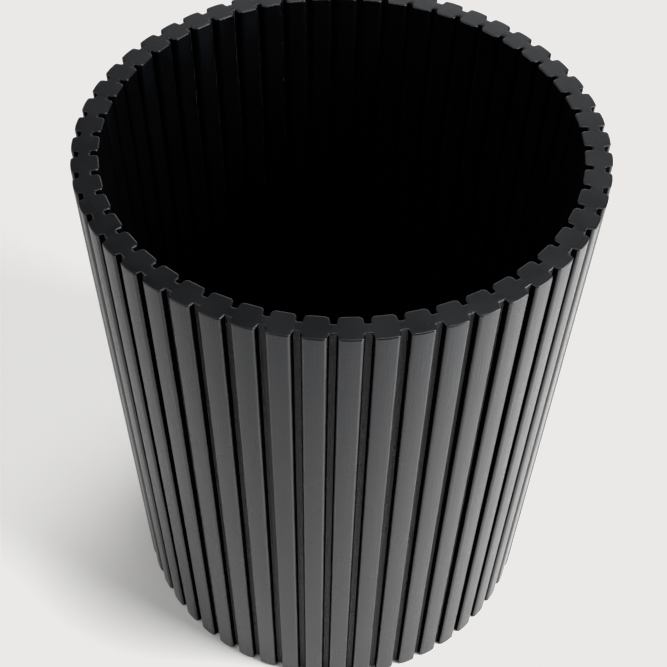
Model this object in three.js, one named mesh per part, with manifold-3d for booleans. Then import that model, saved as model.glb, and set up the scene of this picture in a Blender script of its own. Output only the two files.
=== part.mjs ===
// Round slatted wastebasket: identical upright wooden staves, joined edge to edge by
// tongue and groove, stand in a ring round a bottom panel that sits in a croze.
// Millimetres, +Z up. The origin is the centre of the ring, on the floor.

import * as THREE from 'three';
import { mergeVertices } from 'three/addons/utils/BufferGeometryUtils.js';
import Module from 'manifold-3d';

// Driving dimensions of the basket.
const STAVE_COUNT = 53;
const HEIGHT = 320;
const OUTER_RADIUS = 125;      // centre line to the flat outer face of a stave
const WALL_THICKNESS = 13;     // outer face to inner face

// Stave section: a body with a web on each side that meets the neighbour's web. The sides
// of the body flare from its faces to its roots, where they meet the web.
const OUTER_FACE_WIDTH = 9.9;  // between the corners, before they are rounded
const OUTER_ROOT_WIDTH = 11.1;
const INNER_FACE_WIDTH = 10.5;
const INNER_ROOT_WIDTH = 11.2;
const GROOVE_DEPTH = 3.7;      // outer face down to the web
const WEB_THICKNESS = 5.5;
const OUTER_ARRIS_RADIUS = 1.5;
const INNER_ARRIS_RADIUS = 2.2;

// Tongue and groove in the edges of the webs.
const JOINT_GAP = 0.3;         // glue line and fitting clearance
const TONGUE_THICKNESS = 1.4;
const TONGUE_LENGTH = 1.1;     // beyond the middle of the joint

// Bottom panel and the croze that holds its edge.
const PANEL_THICKNESS = 6;
const PANEL_UNDERSIDE = 12;    // above the floor
const PANEL_SEGMENTS = 2 * STAVE_COUNT;
const CROZE_RADIUS = 116;      // centre line to the bottom of the croze

const ARC_SEGMENTS = 3;
const WELD_TOLERANCE = 1e-4;

// Worked out from the driving dimensions.
const HALF_PITCH = Math.PI / STAVE_COUNT;
const WEB_OUTER_RADIUS = OUTER_RADIUS - GROOVE_DEPTH;
const WEB_INNER_RADIUS = WEB_OUTER_RADIUS - WEB_THICKNESS;
const INNER_RADIUS = OUTER_RADIUS - WALL_THICKNESS;
const PANEL_RADIUS = CROZE_RADIUS - JOINT_GAP;

const wasm = await Module();
wasm.setup();

const staveLacquer = new THREE.MeshStandardMaterial({
  name: 'stave_lacquer',
  color: 0x17171a,
  roughness: 0.45,
  metalness: 0,
});

const panelLacquer = new THREE.MeshStandardMaterial({
  name: 'panel_lacquer',
  color: 0x121214,
  roughness: 0.6,
  metalness: 0,
});

// A closed geometry as a solid that can be cut.
function toSolid(geometry) {
  const bare = geometry.clone();
  bare.deleteAttribute('normal');
  bare.deleteAttribute('uv');
  const welded = mergeVertices(bare, WELD_TOLERANCE);
  const mesh = new wasm.Mesh({
    numProp: 3,
    vertProperties: new Float32Array(welded.attributes.position.array),
    triVerts: new Uint32Array(welded.index.array),
  });
  return new wasm.Manifold(mesh);
}

// A cut solid as a geometry again.
function toGeometry(solid) {
  const mesh = solid.getMesh();
  const geometry = new THREE.BufferGeometry();
  geometry.setAttribute('position', new THREE.BufferAttribute(mesh.vertProperties, 3));
  geometry.setIndex(new THREE.BufferAttribute(mesh.triVerts, 1));
  geometry.computeVertexNormals();
  return geometry;
}

// A point on the edge of a web. The joint plane stands half a pitch to one side of the
// stave: along runs from the centre line in that plane, outward leaves the stave.
function edgePoint(side, along, outward) {
  const x = along * Math.sin(HALF_PITCH) + outward * Math.cos(HALF_PITCH);
  const y = along * Math.cos(HALF_PITCH) - outward * Math.sin(HALF_PITCH);
  return new THREE.Vector2(side * x, y);
}

// The point of a web's edge that lies on one of the web's flat faces.
function edgeCorner(side, faceRadius, outward) {
  const along = (faceRadius + outward * Math.sin(HALF_PITCH)) / Math.cos(HALF_PITCH);
  return edgePoint(side, along, outward);
}

// The four corners of a tongue (reach > 0) or of the groove for it (reach < 0),
// from the outer face of the web to the inner one.
function tongueCorners(side, halfThickness, reach) {
  const middle = (WEB_OUTER_RADIUS + WEB_INNER_RADIUS) / 2 / Math.cos(HALF_PITCH);
  const edge = -JOINT_GAP / 2;
  return [
    edgePoint(side, middle + halfThickness, edge),
    edgePoint(side, middle + halfThickness, reach),
    edgePoint(side, middle - halfThickness, reach),
    edgePoint(side, middle - halfThickness, edge),
  ];
}

// One side of the section's web: its two corners with the tongue or groove between.
function webEdge(side, halfThickness, reach) {
  const edge = -JOINT_GAP / 2;
  return [
    edgeCorner(side, WEB_OUTER_RADIUS, edge),
    ...tongueCorners(side, halfThickness, reach),
    edgeCorner(side, WEB_INNER_RADIUS, edge),
  ];
}

// The points of the arc that rounds a corner of an outline.
function roundedCorner(before, corner, after, radius) {
  const back = before.clone().sub(corner).normalize();
  const ahead = after.clone().sub(corner).normalize();
  const halfAngle = Math.acos(back.dot(ahead)) / 2;
  const inward = back.clone().add(ahead).normalize();
  const centre = corner.clone().addScaledVector(inward, radius / Math.sin(halfAngle));
  const spoke = corner.clone().addScaledVector(back, radius / Math.tan(halfAngle)).sub(centre);
  const turn = Math.sign(ahead.cross(back)) * (Math.PI - 2 * halfAngle);
  const points = [];
  for (let i = 0; i <= ARC_SEGMENTS; i += 1) {
    const angle = (turn * i) / ARC_SEGMENTS;
    points.push(spoke.clone().rotateAround(new THREE.Vector2(), angle).add(centre));
  }
  return points;
}

// One side of the body, from the root of the web to the rounded corner of a face.
function bodySide(side, faceHalf, faceRadius, rootHalf, rootRadius, arrisRadius) {
  const root = new THREE.Vector2(side * rootHalf, rootRadius);
  const corner = new THREE.Vector2(side * faceHalf, faceRadius);
  const faceMiddle = new THREE.Vector2(0, faceRadius);
  return [root, ...roundedCorner(root, corner, faceMiddle, arrisRadius)];
}

// Half of the stave's section: x across the stave, y away from the basket's centre line.
function sectionHalf(side, halfThickness, reach) {
  const outer = bodySide(
    side,
    OUTER_FACE_WIDTH / 2,
    OUTER_RADIUS,
    OUTER_ROOT_WIDTH / 2,
    WEB_OUTER_RADIUS,
    OUTER_ARRIS_RADIUS,
  );
  const inner = bodySide(
    side,
    INNER_FACE_WIDTH / 2,
    INNER_RADIUS,
    INNER_ROOT_WIDTH / 2,
    WEB_INNER_RADIUS,
    INNER_ARRIS_RADIUS,
  );
  return [...outer.reverse(), ...webEdge(side, halfThickness, reach), ...inner];
}

// The whole section, with its tongue on one side and its groove on the other.
function staveSection() {
  const tongueHalf = TONGUE_THICKNESS / 2;
  const grooveHalf = tongueHalf + JOINT_GAP;
  const right = sectionHalf(1, tongueHalf, TONGUE_LENGTH);
  const left = sectionHalf(-1, grooveHalf, -TONGUE_LENGTH - JOINT_GAP);
  return new THREE.Shape([...right, ...left.reverse()]);
}

// The block that is milled out of each stave's inner side for the panel's edge.
function crozeCutter() {
  const margin = 2;
  const height = PANEL_THICKNESS + 2 * JOINT_GAP;
  const depth = CROZE_RADIUS - INNER_RADIUS + margin;
  const cutter = new THREE.BoxGeometry(INNER_ROOT_WIDTH + 2 * margin, depth, height);
  cutter.translate(0, CROZE_RADIUS - depth / 2, PANEL_UNDERSIDE + PANEL_THICKNESS / 2);
  return cutter;
}

// The stave that stands at the front, where the outside faces -Y.
function staveGeometry() {
  const bar = new THREE.ExtrudeGeometry(staveSection(), {
    depth: HEIGHT,
    bevelEnabled: false,
  });
  const geometry = toGeometry(toSolid(bar).subtract(toSolid(crozeCutter())));
  geometry.rotateZ(Math.PI);
  return geometry;
}

function staveRing() {
  const ring = new THREE.Group();
  const geometry = staveGeometry();
  for (let i = 0; i < STAVE_COUNT; i += 1) {
    const stave = new THREE.Mesh(geometry, staveLacquer);
    stave.name = `stave_${String(i + 1).padStart(2, '0')}`;
    stave.rotation.z = 2 * HALF_PITCH * i;
    ring.add(stave);
  }
  return ring;
}

function basePanel() {
  const geometry = new THREE.CylinderGeometry(
    PANEL_RADIUS,
    PANEL_RADIUS,
    PANEL_THICKNESS,
    PANEL_SEGMENTS,
  );
  geometry.rotateX(Math.PI / 2);
  const panel = new THREE.Mesh(geometry, panelLacquer);
  panel.name = 'base_panel';
  panel.position.z = PANEL_UNDERSIDE + PANEL_THICKNESS / 2;
  return panel;
}

const wastebasket = new THREE.Group();
wastebasket.name = 'wastebasket';
wastebasket.add(staveRing());
wastebasket.add(basePanel());

export default wastebasket;
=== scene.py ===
"""Looks of the round slatted wastebasket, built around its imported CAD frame.

Every stave is one lofted mesh with rounded arrises, eased ends, a tongue, a groove and the
croze for the bottom panel. Lengths are metres, +Z up, in the frame of the CAD model.
"""

import math
import random

import bmesh
import bpy
from mathutils import Matrix, Vector


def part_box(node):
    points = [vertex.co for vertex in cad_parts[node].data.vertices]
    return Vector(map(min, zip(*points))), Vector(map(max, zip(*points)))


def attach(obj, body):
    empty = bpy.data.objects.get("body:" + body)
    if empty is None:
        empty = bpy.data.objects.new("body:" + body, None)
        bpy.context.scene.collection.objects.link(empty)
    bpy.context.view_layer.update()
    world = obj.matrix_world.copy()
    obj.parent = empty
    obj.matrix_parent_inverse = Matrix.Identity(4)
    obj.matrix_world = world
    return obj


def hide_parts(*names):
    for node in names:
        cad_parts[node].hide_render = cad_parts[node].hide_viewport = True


MM = 0.001

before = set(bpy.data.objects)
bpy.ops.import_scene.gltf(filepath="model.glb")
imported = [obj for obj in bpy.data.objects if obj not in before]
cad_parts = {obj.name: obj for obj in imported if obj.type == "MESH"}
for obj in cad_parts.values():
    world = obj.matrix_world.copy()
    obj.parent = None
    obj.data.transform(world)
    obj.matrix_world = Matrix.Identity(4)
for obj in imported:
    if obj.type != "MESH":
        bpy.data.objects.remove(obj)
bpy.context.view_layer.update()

# Sizes that the frame gives: the front stave stands on -Y, so its box holds the wall.
stave_names = sorted(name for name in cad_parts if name.startswith("stave_"))
stave_low, stave_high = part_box(stave_names[0])
panel_low, panel_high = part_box("base_panel")
HEIGHT = stave_high.z - stave_low.z
OUTER_RADIUS = -stave_low.y
INNER_RADIUS = -stave_high.y
HALF_PITCH = math.pi / len(stave_names)

# The stave's section, as milled. The sides of its body flare from the faces to the roots.
OUTER_FACE_WIDTH = 9.9 * MM
OUTER_ROOT_WIDTH = 11.1 * MM
INNER_FACE_WIDTH = 10.5 * MM
INNER_ROOT_WIDTH = 11.2 * MM
GROOVE_DEPTH = 3.7 * MM
WEB_THICKNESS = 5.5 * MM
WEB_OUTER_RADIUS = OUTER_RADIUS - GROOVE_DEPTH
WEB_INNER_RADIUS = WEB_OUTER_RADIUS - WEB_THICKNESS
OUTER_ARRIS_RADIUS = 1.5 * MM
INNER_ARRIS_RADIUS = 2.2 * MM
ROOT_FILLET_RADIUS = 0.45 * MM
CROWN_RADIUS = 28.0 * MM     # the outer face is very slightly crowned
GLUE_LINE = 0.02 * MM
TONGUE_THICKNESS = 1.4 * MM
TONGUE_LENGTH = 1.1 * MM
TONGUE_CLEARANCE = 0.05 * MM
TOP_EASE = 0.6 * MM
FOOT_EASE = 1.2 * MM
ARRIS_STEPS = 6
CROWN_STEPS = 4
FILLET_STEPS = 4
EASE_STEPS = 3

# The arris value says how far round an arris a point lies: this at its ends and on the
# faces, 1 in its middle, and 0 in the grooves.
ARRIS_ENDS = 0.6

# The croze and the bottom panel.
CROZE_RADIUS = 116.0 * MM
CROZE_CLEARANCE = 0.1 * MM
PANEL_ARRIS_RADIUS = 0.5 * MM
PANEL_RIM_WIDTH = 5.0 * MM
PANEL_SEGMENTS = 4 * len(stave_names)

SHARP_EDGE = 32              # degrees; flatter edges are shaded smooth
MERGE_STEPS = 1e7            # points that round to the same step of a metre are one vertex

# Camera, in outer radii from the centre of the basket's foot.
CAMERA_DISTANCE = 3.238
CAMERA_HEIGHT = 5.198
CAMERA_BEARING = -0.0485    # radians round from -Y, towards +X
CAMERA_HEADING = 0.0201     # radians from +Y, towards +X
CAMERA_PITCH = 0.8876       # radians below the horizon
CAMERA_ROLL = 0.0032
CAMERA_LENS_MM = 59.31
CAMERA_SENSOR_MM = 36.0
CAMERA_SHIFT = (0.0265, 0.0443)
CAMERA_CLIP = (0.01, 100.0)

# The key is a near softbox. Bearings and elevations are in degrees, round from -Y to +X.
KEY_BEARING = 65
KEY_ELEVATION = 30.5
KEY_DISTANCE = 0.723
KEY_SIZE = 0.41
KEY_WATTS = 10.9
KEY_AIM_HEIGHT = HEIGHT / 3

# Soft lights all round: bearing, elevation, radiance at the middle, and how narrow.
SOFT_LIGHTS = (
    (-78, 33, 2.6, 5.3),        # fill from the left
    (143, 71.5, 15.8, 67.0),    # high behind, to the right
    (166, 5, 2.8, 9.0),         # the lit backdrop behind
)
AMBIENT = 0.002

FLOOR_REACH = 30.0
BACKDROP_TONE = (0.823, 0.815, 0.799)      # linear red, green and blue
TOE_START = 0.0022                          # tones darker than this are black
TOE_END = 0.012

# Lacquer: satin black, and the paler outer arrises, partly rubbed wear and partly painted
# highlight.
SATIN_BLACK = (0.0014, 0.0015, 0.0018, 1)
WEAR_AND_HIGHLIGHT_BLACK = (0.03, 0.03, 0.031, 1)
SATIN_TINT = (0.88, 0.92, 1.0, 1)
SATIN_IOR = 1.41
FINE_SCALE = 1500.0          # grain and orange peel, in noise cells per metre
RELIEF_HEIGHT = 0.12 * MM
UPRIGHT_TILT = 0.2           # |normal z| of a surface that still counts as upright
LEVEL_TILT = 0.7             # and of one that counts as level
LEVEL_RELIEF = 0.15          # what is left of the relief on level surfaces
MILLED_PEEL = 8.0            # how much rougher the peel is on the milled webs


# ---------------------------------------------------------------- section of a stave

def rounded_corner(before, corner, after, radius, steps):
    """The points of the arc that rounds a corner of an outline."""
    back = (before - corner).normalized()
    ahead = (after - corner).normalized()
    half_angle = back.angle(ahead) / 2
    centre = corner + (back + ahead).normalized() * radius / math.sin(half_angle)
    spoke = corner + back * radius / math.tan(half_angle) - centre
    turn = math.copysign(math.pi - 2 * half_angle, ahead.cross(back))
    return [centre + Matrix.Rotation(turn * k / steps, 2) @ spoke for k in range(steps + 1)]


def joint_point(along, outward):
    """A point by the joint plane: along it, and outward from the stave."""
    x = along * math.sin(HALF_PITCH) + outward * math.cos(HALF_PITCH)
    y = along * math.cos(HALF_PITCH) - outward * math.sin(HALF_PITCH)
    return Vector((x, y))


def joint_corner(face_radius):
    """Where a flat face of the web meets the joint plane."""
    outward = -GLUE_LINE / 2
    along = (face_radius + outward * math.sin(HALF_PITCH)) / math.cos(HALF_PITCH)
    return joint_point(along, outward)


def joint_edge(half_thickness, reach):
    """The web's edge between its faces, with a tongue (reach > 0) or a groove (reach < 0)."""
    middle = (WEB_OUTER_RADIUS + WEB_INNER_RADIUS) / 2 / math.cos(HALF_PITCH)
    edge = -GLUE_LINE / 2
    return [
        joint_point(middle + half_thickness, edge),
        joint_point(middle + half_thickness, reach),
        joint_point(middle - half_thickness, reach),
        joint_point(middle - half_thickness, edge),
    ]


def body_side(before, face_corner, root, web_corner, arris_radius):
    """From the rounded corner of a face down to the fillet where the web starts.

    Each entry is (point, arris), where arris runs from ARRIS_ENDS up to 1 in the middle of
    the rounded corner.
    """
    arris = rounded_corner(before, face_corner, root, arris_radius, ARRIS_STEPS)
    fillet = rounded_corner(face_corner, root, web_corner, ROOT_FILLET_RADIUS, FILLET_STEPS)
    rise = 1.0 - ARRIS_ENDS
    entries = []
    for k, point in enumerate(arris):
        entries.append((point, ARRIS_ENDS + rise * math.sin(math.pi * k / ARRIS_STEPS)))
    return entries + [(point, 0.0) for point in fillet]


def crown_point(angle):
    """A point of the slightly crowned outer face, at an angle from its middle."""
    sine = math.sin(angle)
    return Vector((CROWN_RADIUS * sine, OUTER_RADIUS - CROWN_RADIUS * (1 - math.cos(angle))))


def crowned_side(web_corner):
    """From the middle of the outer face round its arris to the web."""
    edge_angle = math.asin(OUTER_FACE_WIDTH / 2 / CROWN_RADIUS)
    corner = crown_point(edge_angle)
    before = corner - Vector((math.cos(edge_angle), -math.sin(edge_angle))) * OUTER_ARRIS_RADIUS
    root = Vector((OUTER_ROOT_WIDTH / 2, WEB_OUTER_RADIUS))
    side = body_side(before, corner, root, web_corner, OUTER_ARRIS_RADIUS)
    flat_angle = math.asin(side[0][0].x / CROWN_RADIUS)
    face = []
    for k in range(CROWN_STEPS):
        face.append((crown_point(flat_angle * (k + 0.5) / CROWN_STEPS), ARRIS_ENDS))
    return face + side


def section_side(half_thickness, reach):
    """Half of the section, from the outer face to the inner one, on the side of +x.

    Each entry is (point, eased, arris): eased says whether the edge to the next point is
    eased at the stave's ends. The edges of the joint aren't. The inner arrises don't get the
    paler colour of the outer ones, which is partly rubbed wear and partly a painted highlight.
    """
    outer_corner = joint_corner(WEB_OUTER_RADIUS)
    inner_corner = joint_corner(WEB_INNER_RADIUS)
    outer = crowned_side(outer_corner)
    inner = body_side(
        Vector((0.0, INNER_RADIUS)),
        Vector((INNER_FACE_WIDTH / 2, INNER_RADIUS)),
        Vector((INNER_ROOT_WIDTH / 2, WEB_INNER_RADIUS)),
        inner_corner,
        INNER_ARRIS_RADIUS,
    )
    points = [(point, True, arris) for point, arris in outer]
    points.append((outer_corner, False, 0.0))
    points += [(point, False, 0.0) for point in joint_edge(half_thickness, reach)]
    points.append((inner_corner, True, 0.0))
    points += [(point, True, min(arris, ARRIS_ENDS)) for point, arris in reversed(inner)]
    return points


def stave_section():
    """The whole section, clockwise seen from above, with the outer face at +y."""
    half_thickness = TONGUE_THICKNESS / 2
    right = section_side(half_thickness, TONGUE_LENGTH)
    left = section_side(half_thickness + TONGUE_CLEARANCE, -TONGUE_LENGTH - TONGUE_CLEARANCE)
    mirrored = []
    for i in range(len(left) - 1, -1, -1):
        point, _, arris = left[i]
        eased = left[i - 1][1] if i else True
        mirrored.append((Vector((-point.x, point.y)), eased, arris))
    return right + mirrored


def inset_directions(section):
    """How each point moves as the eased edges are pulled in by one unit."""
    count = len(section)
    normals = []
    for i in range(count):
        edge = (section[(i + 1) % count][0] - section[i][0]).normalized()
        normals.append(Vector((-edge.y, edge.x)))
    directions = []
    for i in range(count):
        before = normals[i - 1]
        after = normals[i]
        pull_before = 1.0 if section[i - 1][1] else 0.0
        pull_after = 1.0 if section[i][1] else 0.0
        cross = before.cross(after)
        x = (pull_after * before.y - pull_before * after.y) / cross
        y = (pull_before * after.x - pull_after * before.x) / cross
        directions.append(Vector((x, y)))
    return directions


def inset_section(section, directions, distance):
    return [
        (point + direction * distance, arris)
        for (point, _, arris), direction in zip(section, directions)
    ]


def notched(loop):
    """The section where the croze is milled out of the inner side."""
    return [(Vector((point.x, max(point.y, CROZE_RADIUS))), arris) for point, arris in loop]


# ---------------------------------------------------------------- mesh making

def stave_loops():
    """The stave's cross-sections from the foot to the rim, each with its height."""
    section = stave_section()
    directions = inset_directions(section)
    full = inset_section(section, directions, 0.0)
    loops = []
    for k in range(EASE_STEPS + 1):
        angle = k / EASE_STEPS * math.pi / 2
        inset = FOOT_EASE * (1 - math.sin(angle))
        z = FOOT_EASE * (1 - math.cos(angle))
        loops.append((inset_section(section, directions, inset), z))
    croze_low = panel_low.z - CROZE_CLEARANCE
    croze_high = panel_high.z + CROZE_CLEARANCE
    loops += [
        (full, croze_low),
        (notched(full), croze_low),
        (notched(full), croze_high),
        (full, croze_high),
    ]
    for k in range(EASE_STEPS, -1, -1):
        angle = k / EASE_STEPS * math.pi / 2
        inset = TOP_EASE * (1 - math.sin(angle))
        z = HEIGHT - TOP_EASE * (1 - math.cos(angle))
        loops.append((inset_section(section, directions, inset), z))
    return loops


def loft(name, loops):
    """A closed mesh through the loops; points that coincide are one vertex."""
    mesh = bpy.data.meshes.new(name)
    bm = bmesh.new()
    arris_layer = bm.verts.layers.float.new("arris")
    known = {}
    rings = []
    for loop, z in loops:
        ring = []
        for point, arris in loop:
            place = (point.x, point.y, z)
            key = tuple(round(value * MERGE_STEPS) for value in place)
            if key not in known:
                known[key] = bm.verts.new(place)
                known[key][arris_layer] = arris
            ring.append(known[key])
        rings.append(ring)
    for low, high in zip(rings, rings[1:]):
        for i in range(len(low)):
            j = (i + 1) % len(low)
            corners = []
            for vertex in (low[j], low[i], high[i], high[j]):
                if vertex not in corners:
                    corners.append(vertex)
            if len(corners) > 2:
                bm.faces.new(corners)
    bm.faces.new(rings[0])
    bm.faces.new(reversed(rings[-1]))
    bm.normal_update()
    caps = [face for face in bm.faces if len(face.verts) > 4]
    bmesh.ops.triangulate(bm, faces=caps, ngon_method="EAR_CLIP")
    bmesh.ops.recalc_face_normals(bm, faces=bm.faces)
    bm.to_mesh(mesh)
    bm.free()
    return mesh


def smooth_with_sharp_edges(mesh):
    mesh.shade_smooth()
    mesh.set_sharp_from_angle(angle=math.radians(SHARP_EDGE))


def add_piece(name, mesh, material, node):
    """Shows a mesh as the piece that stands for a CAD node."""
    piece = bpy.data.objects.new(name, mesh)
    bpy.context.scene.collection.objects.link(piece)
    mesh.materials.append(material)
    weighted = piece.modifiers.new("weighted normals", "WEIGHTED_NORMAL")
    weighted.keep_sharp = True
    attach(piece, "root")
    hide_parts(node)
    return piece


def mark_grooves(mesh):
    """Gives the grooves' flanks the second material, their painted shade; not the webs or the
    ends.
    """
    arris = mesh.attributes["arris"].data
    for face in mesh.polygons:
        in_groove = min(arris[v].value for v in face.vertices) < ARRIS_ENDS - 0.1
        on_web = abs(face.normal.y) > 0.9
        on_end = abs(face.normal.z) > 0.5
        if in_groove and not on_web and not on_end:
            face.material_index = 1


def make_staves(lacquer, groove_painted_shade):
    """The ring of staves, each turned to its place, with its own slight tone."""
    shades = random.Random(len(stave_names))
    pattern = loft("stave", stave_loops())
    mark_grooves(pattern)
    pattern.transform(Matrix.Rotation(math.pi, 4, "Z"))
    for i, node in enumerate(stave_names):
        mesh = pattern.copy()
        mesh.name = f"lacquered_{node}"
        mesh.transform(Matrix.Rotation(2 * HALF_PITCH * i, 4, "Z"))
        smooth_with_sharp_edges(mesh)
        piece = add_piece(f"lacquered_{node}", mesh, lacquer, node)
        # The second slot is the painted shade on the grooves' flanks.
        mesh.materials.append(groove_painted_shade)
        shade = shades.random()
        piece.color = (shade, shade, shade, 1.0)
    bpy.data.meshes.remove(pattern)


def make_panel(material):
    """The bottom panel: a disc with eased edges."""
    radius = panel_high.x
    inner = Vector((radius - PANEL_RIM_WIDTH, panel_low.z))
    low = Vector((radius, panel_low.z))
    high = Vector((radius, panel_high.z))
    inner_high = Vector((inner.x, panel_high.z))
    profile = [inner]
    profile += rounded_corner(inner, low, high, PANEL_ARRIS_RADIUS, FILLET_STEPS)
    profile += rounded_corner(low, high, inner_high, PANEL_ARRIS_RADIUS, FILLET_STEPS)
    profile.append(inner_high)
    loops = []
    for r, z in profile:
        ring = []
        for k in range(PANEL_SEGMENTS):
            angle = -2 * math.pi * k / PANEL_SEGMENTS
            ring.append((Vector((r * math.cos(angle), r * math.sin(angle))), 0.0))
        loops.append((ring, z))
    mesh = loft("lacquered_panel", loops)
    smooth_with_sharp_edges(mesh)
    return add_piece("lacquered_base_panel", mesh, material, "base_panel")


# ---------------------------------------------------------------- materials

class Nodes:
    """Short calls for building a material's node tree."""

    def __init__(self, material):
        material.use_nodes = True
        self.tree = material.node_tree
        self.tree.nodes.clear()

    def add(self, kind, settings=None, **inputs):
        node = self.tree.nodes.new(kind)
        for key, value in (settings or {}).items():
            setattr(node, key, value)
        for key, value in inputs.items():
            self.set(node, key.replace("_", " "), value)
        return node

    def set(self, node, socket, value):
        target = node.inputs[socket]
        if isinstance(value, bpy.types.NodeSocket):
            self.tree.links.new(value, target)
        else:
            target.default_value = value

    def math(self, operation, *values):
        node = self.tree.nodes.new("ShaderNodeMath")
        node.operation = operation
        for i, value in enumerate(values):
            self.set(node, i, value)
        return node.outputs[0]

    def ramp(self, value, low, high, to_low=0.0, to_high=1.0):
        """value from low..high to to_low..to_high, held at the ends."""
        node = self.add(
            "ShaderNodeMapRange",
            Value=value,
            From_Min=low,
            From_Max=high,
            To_Min=to_low,
            To_Max=to_high,
        )
        return node.outputs["Result"]

    def noise(self, vector, scale, detail=2.0, roughness=0.5):
        node = self.add(
            "ShaderNodeTexNoise", Vector=vector, Scale=scale, Detail=detail, Roughness=roughness
        )
        return node.outputs["Fac"]

    def stretched(self, vector, x, y, z):
        node = self.add("ShaderNodeMapping", Vector=vector, Scale=(x, y, z))
        return node.outputs["Vector"]

    def mix_colour(self, factor, low, high):
        node = self.add("ShaderNodeMix", {"data_type": "RGBA"})
        self.set(node, 0, factor)
        self.set(node, 6, low)
        self.set(node, 7, high)
        return node.outputs[2]

    def bump(self, height, distance, normal=None):
        node = self.add("ShaderNodeBump", Height=height, Distance=distance, Strength=1.0)
        if normal is not None:
            self.set(node, "Normal", normal)
        return node.outputs["Normal"]


def satin_colour(n, mottle, arris, tilt):
    """Black, a little paler on the outer arrises: partly rubbed wear, partly a painted highlight.
    """
    upright = n.ramp(tilt, UPRIGHT_TILT, LEVEL_TILT, 1.0, 0.0)
    # Paler on upright outer arrises: partly rubbed wear, partly a painted highlight.
    wear_and_highlight = n.math("MULTIPLY", n.ramp(arris, ARRIS_ENDS, 1.0), upright)
    mottled_wear_and_highlight = n.math("MULTIPLY", wear_and_highlight, n.ramp(mottle, 0.3, 0.7, 0.4, 1.0))
    black = n.mix_colour(mottled_wear_and_highlight, SATIN_BLACK, WEAR_AND_HIGHLIGHT_BLACK)
    tone = n.ramp(mottle, 0.3, 0.7, 0.75, 1.25)
    toned = n.add("ShaderNodeVectorMath", {"operation": "SCALE"}, Vector=black, Scale=tone)
    return toned.outputs["Vector"]


def satin_relief(n, place, arris, tilt):
    """Fine upright grain and orange peel, coarser on the milled webs, faint on level ends."""
    grain = n.noise(n.stretched(place, 1.0, 1.0, 0.035), FINE_SCALE, 4.0, 0.6)
    peel = n.noise(place, FINE_SCALE, 2.0, 0.6)
    milled = n.ramp(arris, 0.0, ARRIS_ENDS, MILLED_PEEL, 1.0)
    grain_share = n.ramp(tilt, UPRIGHT_TILT, LEVEL_TILT, 1.0, LEVEL_RELIEF)
    peel_share = n.ramp(tilt, UPRIGHT_TILT, LEVEL_TILT, milled, LEVEL_RELIEF)
    relief = n.bump(n.math("MULTIPLY", grain, grain_share), RELIEF_HEIGHT)
    return n.bump(n.math("MULTIPLY", peel, peel_share), RELIEF_HEIGHT, relief)


def stave_material():
    """Satin black lacquer that lets the fine upright grain and its own orange peel show."""
    material = bpy.data.materials.new("stave_lacquer_satin")
    n = Nodes(material)
    place = n.add("ShaderNodeTexCoord").outputs["Object"]
    shade = n.add("ShaderNodeObjectInfo").outputs["Color"]
    arris = n.add("ShaderNodeAttribute", {"attribute_name": "arris"}).outputs["Fac"]
    normal = n.add("ShaderNodeNewGeometry").outputs["Normal"]
    tilt = n.math("ABSOLUTE", n.add("ShaderNodeSeparateXYZ", Vector=normal).outputs["Z"])
    mottle = n.noise(n.stretched(place, 1.0, 1.0, 0.3), 70.0, 3.0, 0.55)
    rough = n.ramp(mottle, 0.3, 0.7, 0.25, 0.31)
    shader = n.add(
        "ShaderNodeBsdfPrincipled",
        Base_Color=satin_colour(n, mottle, arris, tilt),
        Roughness=n.math("ADD", rough, n.ramp(shade, 0.0, 1.0, -0.02, 0.02)),
        Normal=satin_relief(n, place, arris, tilt),
    )
    shader.inputs["IOR"].default_value = SATIN_IOR
    shader.inputs["Specular Tint"].default_value = SATIN_TINT
    n.add("ShaderNodeOutputMaterial", Surface=shader.outputs["BSDF"])
    return material


def painted_shade_groove_material():
    """Painted shade on the milled flanks of the grooves: near-black, with a faint upright grain.
    """
    material = bpy.data.materials.new("groove_matt_painted_shade")
    n = Nodes(material)
    place = n.add("ShaderNodeTexCoord").outputs["Object"]
    grain = n.noise(n.stretched(place, 1.0, 1.0, 0.1), 1400.0, 3.0, 0.7)
    colour = n.mix_colour(grain, (0.0005, 0.0005, 0.0005, 1), (0.003, 0.003, 0.003, 1))
    rough = n.ramp(grain, 0.35, 0.65, 0.7, 0.9)
    relief = n.bump(grain, 0.1 * MM)
    shader = n.add("ShaderNodeBsdfPrincipled", Base_Color=colour, Roughness=rough, Normal=relief)
    # Almost no reflection: this is part of the painted shade in the grooves.
    shader.inputs["Specular IOR Level"].default_value = 0.02
    n.add("ShaderNodeOutputMaterial", Surface=shader.outputs["BSDF"])
    return material


def panel_material():
    """Matt black lacquered board with a faint grain along x."""
    material = bpy.data.materials.new("panel_lacquer_matt")
    n = Nodes(material)
    place = n.add("ShaderNodeTexCoord").outputs["Object"]
    grain = n.noise(n.stretched(place, 0.05, 1.0, 1.0), 700.0, 4.0, 0.6)
    mottle = n.noise(place, 45.0, 3.0, 0.5)
    colour = n.mix_colour(mottle, (0.005, 0.005, 0.0055, 1), (0.011, 0.011, 0.011, 1))
    rough = n.ramp(mottle, 0.3, 0.7, 0.5, 0.6)
    relief = n.bump(grain, 0.03 * MM)
    shader = n.add("ShaderNodeBsdfPrincipled", Base_Color=colour, Roughness=rough, Normal=relief)
    n.add("ShaderNodeOutputMaterial", Surface=shader.outputs["BSDF"])
    return material


def floor_material():
    """Plain pale floor."""
    material = bpy.data.materials.new("pale_floor")
    n = Nodes(material)
    shader = n.add("ShaderNodeBsdfPrincipled", Base_Color=(0.80, 0.792, 0.778, 1), Roughness=0.9)
    shader.inputs["Specular IOR Level"].default_value = 0.2
    n.add("ShaderNodeOutputMaterial", Surface=shader.outputs["BSDF"])
    return material


# ---------------------------------------------------------------- stage, lights, camera

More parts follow.
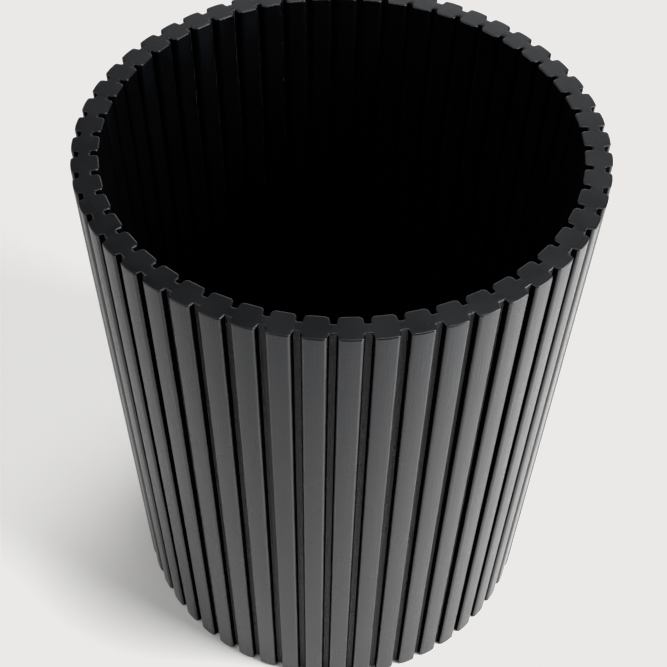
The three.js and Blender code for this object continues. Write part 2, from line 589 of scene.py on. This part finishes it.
def make_floor():
    size = FLOOR_REACH
    mesh = bpy.data.meshes.new("floor")
    corners = [(-size, -size, 0), (size, -size, 0), (size, size, 0), (-size, size, 0)]
    mesh.from_pydata(corners, [], [(0, 1, 2, 3)])
    mesh.materials.append(floor_material())
    floor = bpy.data.objects.new("floor", mesh)
    bpy.context.scene.collection.objects.link(floor)


def from_bearing(bearing, elevation):
    """A unit vector towards a bearing round from -Y to +X and an elevation, in degrees."""
    turn = math.radians(bearing)
    rise = math.radians(elevation)
    return Vector((
        math.sin(turn) * math.cos(rise),
        -math.cos(turn) * math.cos(rise),
        math.sin(rise),
    ))


def make_key():
    """A near softbox to the right of the front, aimed at the basket."""
    data = bpy.data.lights.new("key_softbox", "AREA")
    data.size = KEY_SIZE
    data.energy = KEY_WATTS
    light = bpy.data.objects.new("key_softbox", data)
    direction = from_bearing(KEY_BEARING, KEY_ELEVATION)
    light.location = Vector((0.0, 0.0, KEY_AIM_HEIGHT)) + direction * KEY_DISTANCE
    light.rotation_euler = direction.to_track_quat("Z", "Y").to_euler()
    bpy.context.scene.collection.objects.link(light)


def soft_lobe(n, direction, bearing, elevation, strength, power):
    """Radiance that falls off smoothly from one direction."""
    dot = n.add("ShaderNodeVectorMath", {"operation": "DOT_PRODUCT"})
    n.set(dot, 0, direction)
    n.set(dot, 1, from_bearing(bearing, elevation))
    towards = n.math("MAXIMUM", dot.outputs["Value"], 0.0)
    return n.math("MULTIPLY", n.math("POWER", towards, power), strength)


def make_world():
    """Studio surroundings: nearly black, with the soft lights all round."""
    world = bpy.data.worlds.new("studio")
    bpy.context.scene.world = world
    n = Nodes(world)
    direction = n.add("ShaderNodeTexCoord").outputs["Generated"]
    total = AMBIENT
    for bearing, elevation, strength, power in SOFT_LIGHTS:
        total = n.math("ADD", total, soft_lobe(n, direction, bearing, elevation, strength, power))
    background = n.add("ShaderNodeBackground", Color=(1.0, 1.0, 1.0, 1.0), Strength=total)
    n.add("ShaderNodeOutputWorld", Surface=background.outputs["Background"])


def set_tones():
    """Deep shade goes to black, and the pale floor ends as one even tone, as in a catalogue."""
    view = bpy.context.scene.view_settings
    view.view_transform = "Standard"
    view.use_curve_mapping = True
    mapping = view.curve_mapping
    for curve, white in zip(mapping.curves, BACKDROP_TONE):
        curve.points[1].location = (white, white)
        curve.points.new(1.0, white)
        curve.points.new(TOE_START, 0.0)
        curve.points.new(TOE_END, TOE_END)
        for point in curve.points:
            point.handle_type = "VECTOR"
    mapping.update()


def make_camera():
    data = bpy.data.cameras.new("camera")
    data.sensor_width = CAMERA_SENSOR_MM
    data.lens = CAMERA_LENS_MM
    data.shift_x, data.shift_y = CAMERA_SHIFT
    data.clip_start, data.clip_end = CAMERA_CLIP
    camera = bpy.data.objects.new("camera", data)
    out = CAMERA_DISTANCE * OUTER_RADIUS
    place = Vector((
        out * math.sin(CAMERA_BEARING),
        -out * math.cos(CAMERA_BEARING),
        CAMERA_HEIGHT * OUTER_RADIUS,
    ))
    turn = Matrix.Rotation(-CAMERA_HEADING, 4, "Z")
    tilt = Matrix.Rotation(math.pi / 2 - CAMERA_PITCH, 4, "X")
    roll = Matrix.Rotation(CAMERA_ROLL, 4, "Z")
    camera.matrix_world = Matrix.Translation(place) @ turn @ tilt @ roll
    bpy.context.scene.collection.objects.link(camera)
    bpy.context.scene.camera = camera


make_staves(stave_material(), painted_shade_groove_material())
make_panel(panel_material())
make_floor()
make_key()
make_world()
make_camera()
set_tones()
